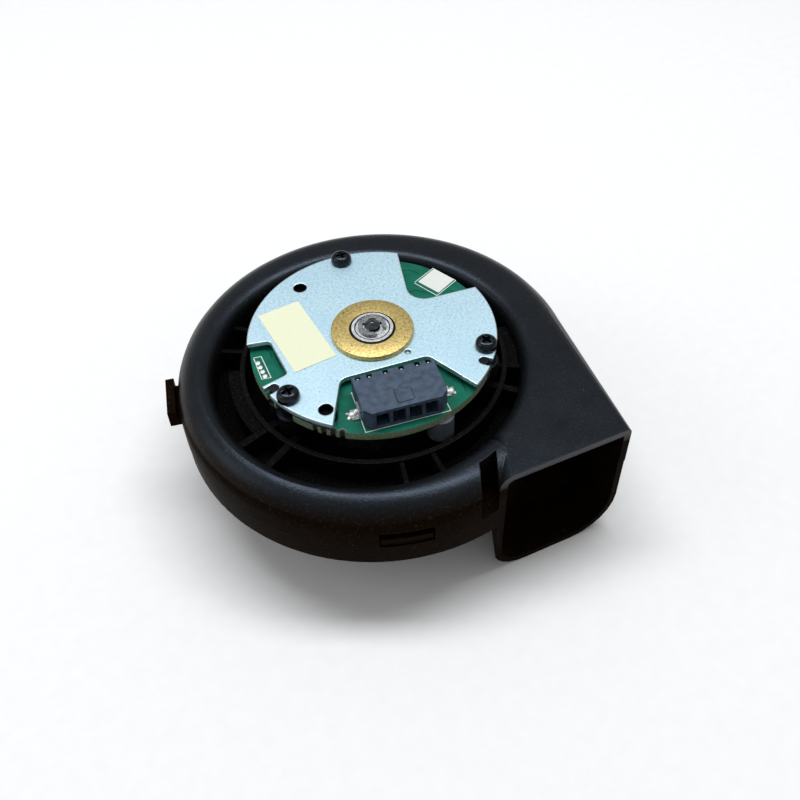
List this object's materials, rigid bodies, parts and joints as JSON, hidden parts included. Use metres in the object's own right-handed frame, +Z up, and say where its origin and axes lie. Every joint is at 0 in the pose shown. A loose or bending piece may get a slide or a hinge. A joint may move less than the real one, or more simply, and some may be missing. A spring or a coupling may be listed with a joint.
{
  "type": "robot vacuum fan",
  "caption": "Snail-shaped centrifugal suction fan of a robot vacuum: two-part black housing with side outlet, round steel motor plate on top, outer-rotor motor and shrouded impeller inside.",
  "frame": {"origin": "centre of the intake mouth on the motor axis, at the base plane", "axes": "+Z up along the motor axis to the motor plate, -Y the way the air leaves the outlet, +X towards the outlet's outer wall"},
  "size_m": [0.0816, 0.0782, 0.0367],
  "materials": {
    "housing_plastic": "satin, fine moulded grain",
    "cover_plastic": "satin, fine moulded grain",
    "zinc_steel": "zinc-plated sheet, matt",
    "brass": "turned",
    "board_laminate": "green solder resist",
    "connector_plastic": "moulded, satin",
    "pin_brass": "tinned brass",
    "tin_plate": "tinned sheet",
    "capacitor_can": "drawn can",
    "chip_resin": "moulded resin",
    "chip_ceramic": "fired",
    "lamination_steel": "stamped sheet stack",
    "insulator_plastic": "moulded",
    "copper_wire": "enamelled copper wire",
    "black_steel": "black oxide",
    "label_paper": "matt, blank",
    "white_paper": "matt, blank",
    "spring_steel": "drawn",
    "bearing_steel": "ground and polished",
    "shield_steel": "pressed sheet",
    "shaft_steel": "ground",
    "cup_steel": "deep-drawn, zinc-plated",
    "magnet": "bonded magnet",
    "impeller_plastic": "moulded, satin"
  },
  "bodies": {
    "housing": {"upper_housing": "housing_plastic", "lower_cover": "cover_plastic", "motor_plate": "zinc_steel", "bearing_sleeve": "brass", "circuit_board": "board_laminate", "power_connector": "connector_plastic", "connector_pins": "pin_brass", "connector_solder_tabs": "tin_plate", "capacitor": "capacitor_can", "driver_chip": "chip_resin", "hall_sensors": "chip_resin", "surface_components": "chip_ceramic", "stator_core": "lamination_steel", "stator_insulators": "insulator_plastic", "stator_windings": "copper_wire", "winding_leads": "copper_wire", "plate_screws": "black_steel", "plate_label": "label_paper", "board_label": "white_paper", "preload_spring": "spring_steel", "upper_bearing_outer_ring": "bearing_steel", "upper_bearing_shields": "shield_steel", "lower_bearing_outer_ring": "bearing_steel", "lower_bearing_shields": "shield_steel"},
    "rotor": {"shaft": "shaft_steel", "retaining_clip": "spring_steel", "upper_bearing_inner_ring": "bearing_steel", "lower_bearing_inner_ring": "bearing_steel", "rotor_hub": "brass", "rotor_cup": "cup_steel", "magnet_ring": "magnet", "impeller": "impeller_plastic", "impeller_shroud": "impeller_plastic"},
    "upper_cage": {"upper_bearing_balls": "bearing_steel", "upper_bearing_cage": "shield_steel"},
    "lower_cage": {"lower_bearing_balls": "bearing_steel", "lower_bearing_cage": "shield_steel"}
  },
  "joints": [
    {"name": "rotor_spin", "type": "hinge", "parent": "housing", "child": "rotor", "pos_m": [0, 0, 0.02], "axis": [0, 0, 1], "continuous": true},
    {"name": "upper_cage_spin", "type": "hinge", "parent": "housing", "child": "upper_cage", "pos_m": [0, 0, 0.0332], "axis": [0, 0, 1], "continuous": true},
    {"name": "lower_cage_spin", "type": "hinge", "parent": "housing", "child": "lower_cage", "pos_m": [0, 0, 0.0241], "axis": [0, 0, 1], "continuous": true}
  ],
  "couplings": [
    {"joint": "upper_cage_spin", "follows": "rotor_spin", "ratio": 0.36364},
    {"joint": "lower_cage_spin", "follows": "rotor_spin", "ratio": 0.36364}
  ]
}
